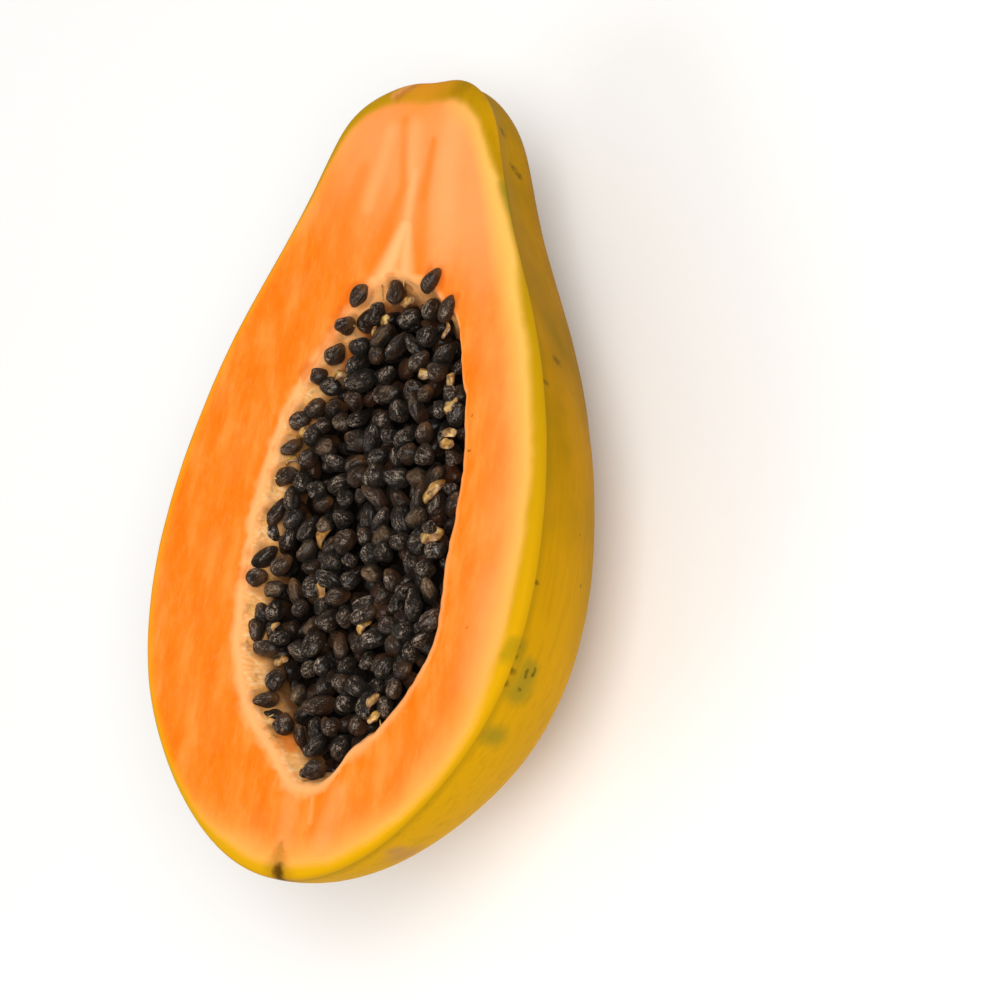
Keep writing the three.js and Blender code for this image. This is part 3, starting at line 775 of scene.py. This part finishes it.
def cut_flesh():
    """Ripe flesh cut with a knife: saturated orange, moist and a little translucent, softly mottled
    with paler fibres, and a golden rind at its edge."""
    finish, tree = new_finish(
        "knife_cut_ripe_flesh", roughness=0.5, specular_ior_level=0.03, subsurface_weight=0.15,
        subsurface_scale=0.003, subsurface_radius=(1.0, 0.35, 0.1), specular_tint=linear("#FFD9A0"))
    along = add(tree, "Mapping", {"Vector": "place", "Scale": (1, 0.35, 1)}).outputs[0]
    mottle, fibre, grain = (
        add(tree, "TexNoise", {"Vector": where, "Scale": 1 / size, "Detail": detail,
                               "Roughness": 0.6}).outputs["Fac"]
        for where, size, detail in ((along, 8, 4), (along, 1.4, 3), ("place", 0.7, 2)))
    base = add(tree, "ValToRGB", {0: mottle}, stops=(
        (0.34, "#FF740E"), (0.5, "#FF7F1E"), (0.66, "#FF9038"))).outputs[0]
    hood = add(tree, "ValToRGB", {0: mottle}, stops=(
        (0.35, "#9C7606"), (0.65, "#BE8C08"))).outputs[0]
    band = add(tree, "Mix", {0: "ripe", 6: "#B98E08", 7: "#DEA406"}, data_type="RGBA").outputs[2]
    pale = add(tree, "Mix", {0: "ripe", 6: "#F8BE5C", 7: "#FFAC50"}, data_type="RGBA").outputs[2]
    seed_shade_and_stain = add(tree, "Math", {0: "seed_shade_and_stain", 1: 0.6}, operation="MULTIPLY").outputs[0]
    relief = add(tree, "Math", {0: grain, 1: fibre}).outputs[0]
    return dress(finish, base, (
        (fibre, 0.52, 0.8, 0, 0.35, "#FF9A50"),
        # lighter, pinker flesh, in part painted light towards the stem on the right
        ("soft", "#FF9C58"),
        ("ember", "#FF7A14"),
        ("gilt", "#F9A20C"),
        ("pale", pale),
        ("cream", "#FBBA78"),
        # painted shadow of the edge seeds, with some stain
        (seed_shade_and_stain, "#D06414"),
        ("band", band),
        ("rind", -0.2, 2.4, 0.5, 0, "#B08406"),  # deeper at the very edge
        ("hood", hood),
        ("stem", "#D88C20"),
        ("olive", "#8C7A12"),
        ("blush", "#E89A58"),
        (spots(tree, SPECKS, 0.8), "#8A4A10"),
        *end_scars(tree),
    ), relief, 0.3, 0.00025)


# An amber flap low on the left of the cavity, and smaller amber spots by the seeds above it, partly
# painted shadow below the seeds.
AMBER_AND_SEED_SHADOW = (
    (-7.2, -77.4, -4.3, 2.8, -10.5, -73.6, -5.1, 2.0), (-17.5, 39.5, -3, 2.2),
    (10.5, 47.9, -10.1, 1.8, 15.7, 46.6, -10.1, 1.8), (-12.5, 49.0, -2, 1.6),
    (-10.1, 43.5, -6.9, 1.2, -10.3, 40.5, -10.6, 1.4), (-4.2, 50.2, -8.0, 1.2),
    (-13.6, 37.0, -6.7, 1.2, -15.8, 31.6, -8.2, 1.1),
)
# Brown threads left on the lining over the topmost seeds.
BROWN_THREADS = (
    (4.6, 56.0, -3.6, 0.4, 1.5, 52.5, -8.0, 1.1), (-7.3, 45.7, -9.3, 0.9, -5.3, 49.0, -7.7, 0.5),
    (-2.3, 53.1, -5.7, 0.4, -2.8, 50.5, -8.0, 0.6),
)


def cavity_lining():
    """The soft fibrous lining where the seeds grew: matte, cream to peach, with brown stains, and
    painted shade below and round the seeds.
    """
    finish, tree = new_finish(
        "fibrous_cavity_lining", roughness=0.65, specular_ior_level=0.2, subsurface_weight=0.2,
        subsurface_scale=0.003, subsurface_radius=(1.0, 0.5, 0.2))
    fibres = add(tree, "Mapping", {"Vector": "place", "Scale": (0.55, 1, 0.55)}).outputs[0]
    tuft = add(tree, "TexNoise", {"Vector": fibres, "Scale": 1 / 1.2, "Detail": 3,
                                  "Roughness": 0.65}).outputs["Fac"]
    stain = add(tree, "TexNoise", {"Vector": "place", "Scale": 1 / 4.5, "Detail": 4,
                                   "Roughness": 0.6}).outputs
    base = add(tree, "ValToRGB", {0: tuft}, stops=(
        (0.32, "#F0A254"), (0.5, "#FAB66C"), (0.68, "#FFD49C"))).outputs[0]
    stem_ward = add(tree, "SeparateXYZ", {"Vector": "place"}).outputs[1]
    frayed = add(tree, "Math", {0: "seed_shade_and_stain", 1: tuft}).outputs[0]
    return dress(finish, base, (
        (stain["Color"], 0.5, 0.66, 0, 0.5, "#CC9A3A"),
        (stain["Fac"], 0.56, 0.68, 0, 0.55, "#8E5218"),
        # warmer and lighter towards the stem: in part painted light on the top wall, which lies in
        # shade
        (stem_ward, 36, 50, 0, 0.8, "#FFB068"),
        # painted shadow of the edge seeds, with torn brown lining, in ragged halos
        (frayed, 0.75, 1.4, 0, 0.6, "#9A5C24"),
        ("mouth", -4.0, -0.6, 0, 0.92, "#FFA862"),  # like the flesh along its top
        (spots(tree, AMBER_AND_SEED_SHADOW, 0.85), "#E07414"),
        (spots(tree, BROWN_THREADS, 0.8), "#5A3212"),
        ("mouth", -13, -7, 0.9, 0, "#5E3414"),  # painted shade below the seeds, with some brown membrane
    ), tuft, 0.5, 0.0005)


# Dark flecks that stand out on the right of the skin: x, y, z and radius.
FLECKS = (
    (25.2, 102.0, -9.0, 1.4), (28.1, 92.5, -13.0, 1.1), (28.0, 91.2, -16.0, 1.2),
    (55.3, 35.3, -13.5, 1.4), (60.1, 26.5, -4.4, 0.9), (69.2, -29.5, -3.4, 0.8),
    (66.1, -53.6, -3.5, 1.0), (66.0, -52.0, -10.2, 0.45, 65.7, -54.2, -10.6, 0.35),
    (65.0, -57.4, -3.0, 0.9), (65.8, -50.9, -13.8, 0.5, 65.5, -53.0, -13.4, 0.35),
    (64.7, -57.3, -10.1, 0.6), (66.6, -46.9, -3.0, 0.7, 66.1, -49.6, -3.0, 0.9),
)
# Dull olive patches on the right, and a pale rusty one low down.
OLIVE_PATCHES = ((66.0, -51.0, -11.0, 2.6, 64.6, -58.5, -10.5, 3.4), (59.4, -70.4, -9.4, 3.4))
RUSTY_PATCH = ((31.0, -103.0, -12.0, 2.8), (28.7, -103.2, -18.2, 4.5))


def waxy_skin():
    """Ripe papaya skin under its natural wax: mustard yellow clouded with olive green, faint
    streaks along the fruit, dark flecks, and a broad soft sheen."""
    finish, tree = new_finish(
        "ripe_waxy_papaya_skin", roughness=0.5, specular_ior_level=0.012, subsurface_weight=0.05,
        subsurface_scale=0.002, subsurface_radius=(1.0, 0.5, 0.1), specular_tint=linear("#FFDC90"))
    along = add(tree, "Mapping", {"Vector": "place", "Scale": (1, 0.08, 1)}).outputs[0]
    cloud, warm, lines, grain = (
        add(tree, "TexNoise", {"Vector": where, "Scale": 1 / size, "Detail": detail,
                               "Roughness": roughness}).outputs["Fac"]
        for where, size, detail, roughness in (
            ("place", 30, 4, 0.55), ("place", 42, 2, 0.5), (along, 2.2, 3, 0.6),
            ("place", 1.1, 2, 0.6)))
    base = add(tree, "ValToRGB", {0: cloud}, stops=(
        (0.32, "#886603"), (0.5, "#A07002"), (0.66, "#B27C02"))).outputs[0]
    golden = add(tree, "Math", {0: "ripe", 1: 0.9}, operation="MULTIPLY").outputs[0]
    green = add(tree, "Math", {0: "groove", 1: 0.2}, operation="MULTIPLY").outputs[0]
    # Flecks up to 1 mm in radius, in the middles of about half of the cells.
    cells = add(tree, "TexVoronoi", {"Vector": "place", "Scale": 1 / 11, "Randomness": 1.0}).outputs
    rare = add(tree, "SeparateColor", {0: cells["Color"]}).outputs[0]
    size = add(tree, "MapRange", {0: rare, 1: 0.45, 2: 1, 3: 0, 4: 0.085}).outputs[0]
    near = add(tree, "Math", {0: size, 1: cells["Distance"]}, operation="SUBTRACT").outputs[0]
    fleck = add(tree, "MapRange", {0: near, 1: 0, 2: 0.03, 3: 0, 4: 0.85}).outputs[0]
    relief = add(tree, "Math", {0: grain, 1: fleck}, operation="SUBTRACT").outputs[0]
    return dress(finish, base, (
        (golden, "#DCA204"),
        (warm, 0.6, 0.8, 0, 0.4, "#D0841C"),
        (lines, 0.5, 0.8, 0, 0.35, "#8E6C06"),
        (green, "#6F6A0C"),
        ("rind", -3.5, -0.6, 0, 0.4, "#8E6E08"),  # painted shade where the skin turns in to the cut edge
        ("stem", "#B07A1C"),
        ("olive", "#7E7218"),
        ("blush", "#D8924C"),
        (spots(tree, OLIVE_PATCHES, 0.7), "#8C7C1C"),
        (spots(tree, RUSTY_PATCH, 0.7), "#B8844A"),
        (fleck, "#4A380F"),
        (spots(tree, FLECKS, 0.75), "#5C4A0C"),
        *end_scars(tree),
    ), relief, 0.25, 0.00025)


def seed_skin():
    """A moist papaya seed in its shrunken skin: folds along its length, near black in the creases
    and grey-brown to pale on the ridges, partly painted shade and highlight, with painted shade on
    its flanks and in the cracks between seeds, brown where the skin is loose at the ends, with wet
    glints."""
    finish, tree = new_finish(
        "moist_wrinkled_seed_skin", roughness=0.45, specular_ior_level=0.4, coat_weight=0.22,
        coat_roughness=0.2, specular_tint=linear("#FFE8D0"))
    lengthwise = add(tree, "Mapping", {"Vector": "own", "Scale": (0.4, 1, 1)}).outputs[0]
    folds = add(tree, "TexNoise", {"Vector": lengthwise, "Scale": 1 / 1.6, "Detail": 5,
                                   "Roughness": 0.66, "Distortion": 1.0}).outputs["Fac"]
    pits = add(tree, "TexNoise", {"Vector": "own", "Scale": 1 / 0.5, "Detail": 2,
                                  "Roughness": 0.6}).outputs["Fac"]
    wrinkle_shading = add(tree, "Mix", {0: 0.4, 2: folds, 3: pits}).outputs[0]
    # The skin's tone from its wrinkles: near black in the creases is painted shade, pale on the
    # ridges painted highlight.
    base = add(tree, "ValToRGB", {0: wrinkle_shading}, stops=(
        (0.43, "#030201"), (0.49, "#20150E"), (0.55, "#806A57"), (0.61, "#E8D4BC"))).outputs[0]
    rim = add(tree, "MapRange", {0: "crown", 1: 0.1, 2: 0.75, 3: 0.8, 4: 0.05}).outputs[0]
    loose = add(tree, "MapRange", {0: "end", 1: 0.35, 2: 0.95, 3: 0, 4: 1}).outputs[0]
    brown = add(tree, "MapRange", {0: "brown", 1: 0.4, 2: 0.95, 3: 0, 4: 0.8}).outputs[0]
    tinge, rimmed, capped, crevice_shade, half_pits = (
        add(tree, "Math", {0: one, 1: other}, operation="MULTIPLY").outputs[0]
        for one, other in (
            (brown, 0.45), (rim, brown), (loose, brown), ("crevice_shade", 0.98), (pits, 0.5)))
    relief = add(tree, "Math", {0: half_pits, 1: folds}).outputs[0]
    return dress(finish, base, (
        (tinge, "#5A3A20"),
        ("tone", 0.9, 0.97, 0, 0.55, "#9A7448"),  # a few are tan
        # painted shade in the creases of the folds
        (folds, 0.38, 0.49, 0.92, 0, "#080403"),
        ("crown", 0.0, 0.85, 0.98, 0, "#080402"),  # painted shade on the flanks
        (rimmed, "#5E3210"),
        (capped, "#8A5A2A"),
        # painted shade in the cracks between seeds
        (crevice_shade, "#030201"),
    ), relief, 1.0, 0.0034)


def torn_pulp():
    """Shreds of seed skin and pulp: wet, translucent, yellow to cream."""
    finish, tree = new_finish(
        "torn_translucent_pulp", roughness=0.3, specular_ior_level=0.45, subsurface_weight=0.4,
        subsurface_scale=0.002, subsurface_radius=(1.0, 0.6, 0.2), coat_weight=0.3,
        coat_roughness=0.15)
    stain, tint = (
        add(tree, "TexNoise", {"Vector": "place", "Scale": 1 / size, "Detail": detail,
                               "Roughness": 0.6}).outputs["Fac"]
        for size, detail in ((2.2, 3), (2.4, 2)))
    base = add(tree, "Mix", {0: "paleness", 6: "#A86C12", 7: "#E4C07E"},
               data_type="RGBA").outputs[2]
    return dress(finish, base, (
        (tint, 0.44, 0.6, 0, 0.8, "#C08C18"),
        ("crown", 0.3, 0.95, 0.95, 0, "#7A4A14"),
        (stain, 0.46, 0.62, 0, 0.85, "#5C3614"),
    ), stain, 0.8, 0.001)


def studio_floor():
    """A painted board, nearly white, with a faint unevenness."""
    finish, tree = new_finish("matt_white_painted_board", roughness=0.9, specular_ior_level=0.1)
    place = add(tree, "TexCoord").outputs["Object"]
    paint = add(tree, "TexNoise", {"Vector": place, "Scale": 3.0, "Detail": 2}).outputs["Fac"]
    colour = add(tree, "ValToRGB", {0: paint}, stops=(
        (0.3, "#F4F3F1"), (0.7, "#F8F7F5"))).outputs[0]
    tree.links.new(colour, tree.nodes["Principled BSDF"].inputs["Base Color"])
    return finish


# -------- building

pulp = torn_pulp()
seed_finish = seed_skin()

body = papaya_body([cavity_lining(), cut_flesh(), waxy_skin()])
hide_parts("fruit")

middles, key = seed_rows(SEED_LEVEL, (0, 0), TOP_KEY, SEED_LEFT_REACH)
edge = np.array(EDGE_SEEDS)
gap = np.linalg.norm(middles[:, None, :2] - edge[None, :, :2], axis=-1).min(1)
middles = np.concatenate([middles[gap > EDGE_SEED_GAP], edge[:, :3]])
key = np.concatenate([key[gap > EDGE_SEED_GAP], EDGE_KEY + np.arange(len(edge))])
seeds = egg_seeds("seeds_top", middles, key, seed_finish, edge[:, 3:])
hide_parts("seeds")

middles, key = seed_rows(SEED_LEVEL - LOWER_DROP, LOWER_SHIFT, LOWER_KEY, -SEED_LEFT_REACH)
# The lower layer is darker: painted shade.
lower = egg_seeds("seeds_below", middles, key, seed_finish, sunk_shade=0.7)
bed = seed_bed(seed_finish)
bits = pulp_bits(pulp)
threads = lining_threads(pulp)

for piece in (body, seeds, lower, bed, bits, threads):
    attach(piece, "root")

# -------- studio

FLOOR = 6  # metres from its middle to each side
SKY = 0.45

plane = bpy.data.meshes.new("floor")
corners = [(x * FLOOR, y * FLOOR, 0) for x, y in ((-1, -1), (1, -1), (1, 1), (-1, 1))]
plane.from_pydata(corners, [], [(0, 1, 2, 3)])
plane.materials.append(studio_floor())
floor = bpy.data.objects.new("floor", plane)
scene.collection.objects.link(floor)

world = bpy.data.worlds.new("studio")
world.use_nodes = True
sky = world.node_tree.nodes["Background"]
sky.inputs["Color"].default_value = linear("#FFFFFF")
sky.inputs["Strength"].default_value = SKY
scene.world = world

# Soft boxes: name, place, size in metres, power in watts. Each faces the fruit's middle.
for name, spot, size, power in (
    ("key", (0.92, 0.0, 1.48), 1.1, 24),
    ("fill", (-0.8, -0.8, 1.1), 0.9, 5),
):
    light = bpy.data.lights.new(name, "AREA")
    light.size, light.energy = size, power
    lamp = bpy.data.objects.new(name, light)
    lamp.location = spot
    way = Vector((0, 0, 0.05)) - Vector(spot)
    lamp.rotation_euler = way.to_track_quat("-Z", "Y").to_euler()
    scene.collection.objects.link(lamp)

# The camera's place and turn in the fruit's frame, and its lens and sensor in millimetres.
EYE = (653.96, -200.011, 730.848)
RIGHT = Vector((0.78362, 0.16915, -0.59777))
UP = Vector((-0.00906, 0.96523, 0.26126))
LENS = 129.12
SENSOR = 36
camera = bpy.data.cameras.new("camera")
camera.lens, camera.sensor_width = LENS, SENSOR
camera.clip_start = 0.01
viewer = bpy.data.objects.new("camera", camera)
facing = Matrix.Rotation(TILT, 3, "X") @ Matrix((RIGHT, UP, RIGHT.cross(UP))).transposed()
viewer.matrix_world = Matrix.Translation(at_rest(np.array(EYE))) @ facing.to_4x4()
scene.collection.objects.link(viewer)
scene.camera = viewer
scene.view_settings.view_transform = "Standard"
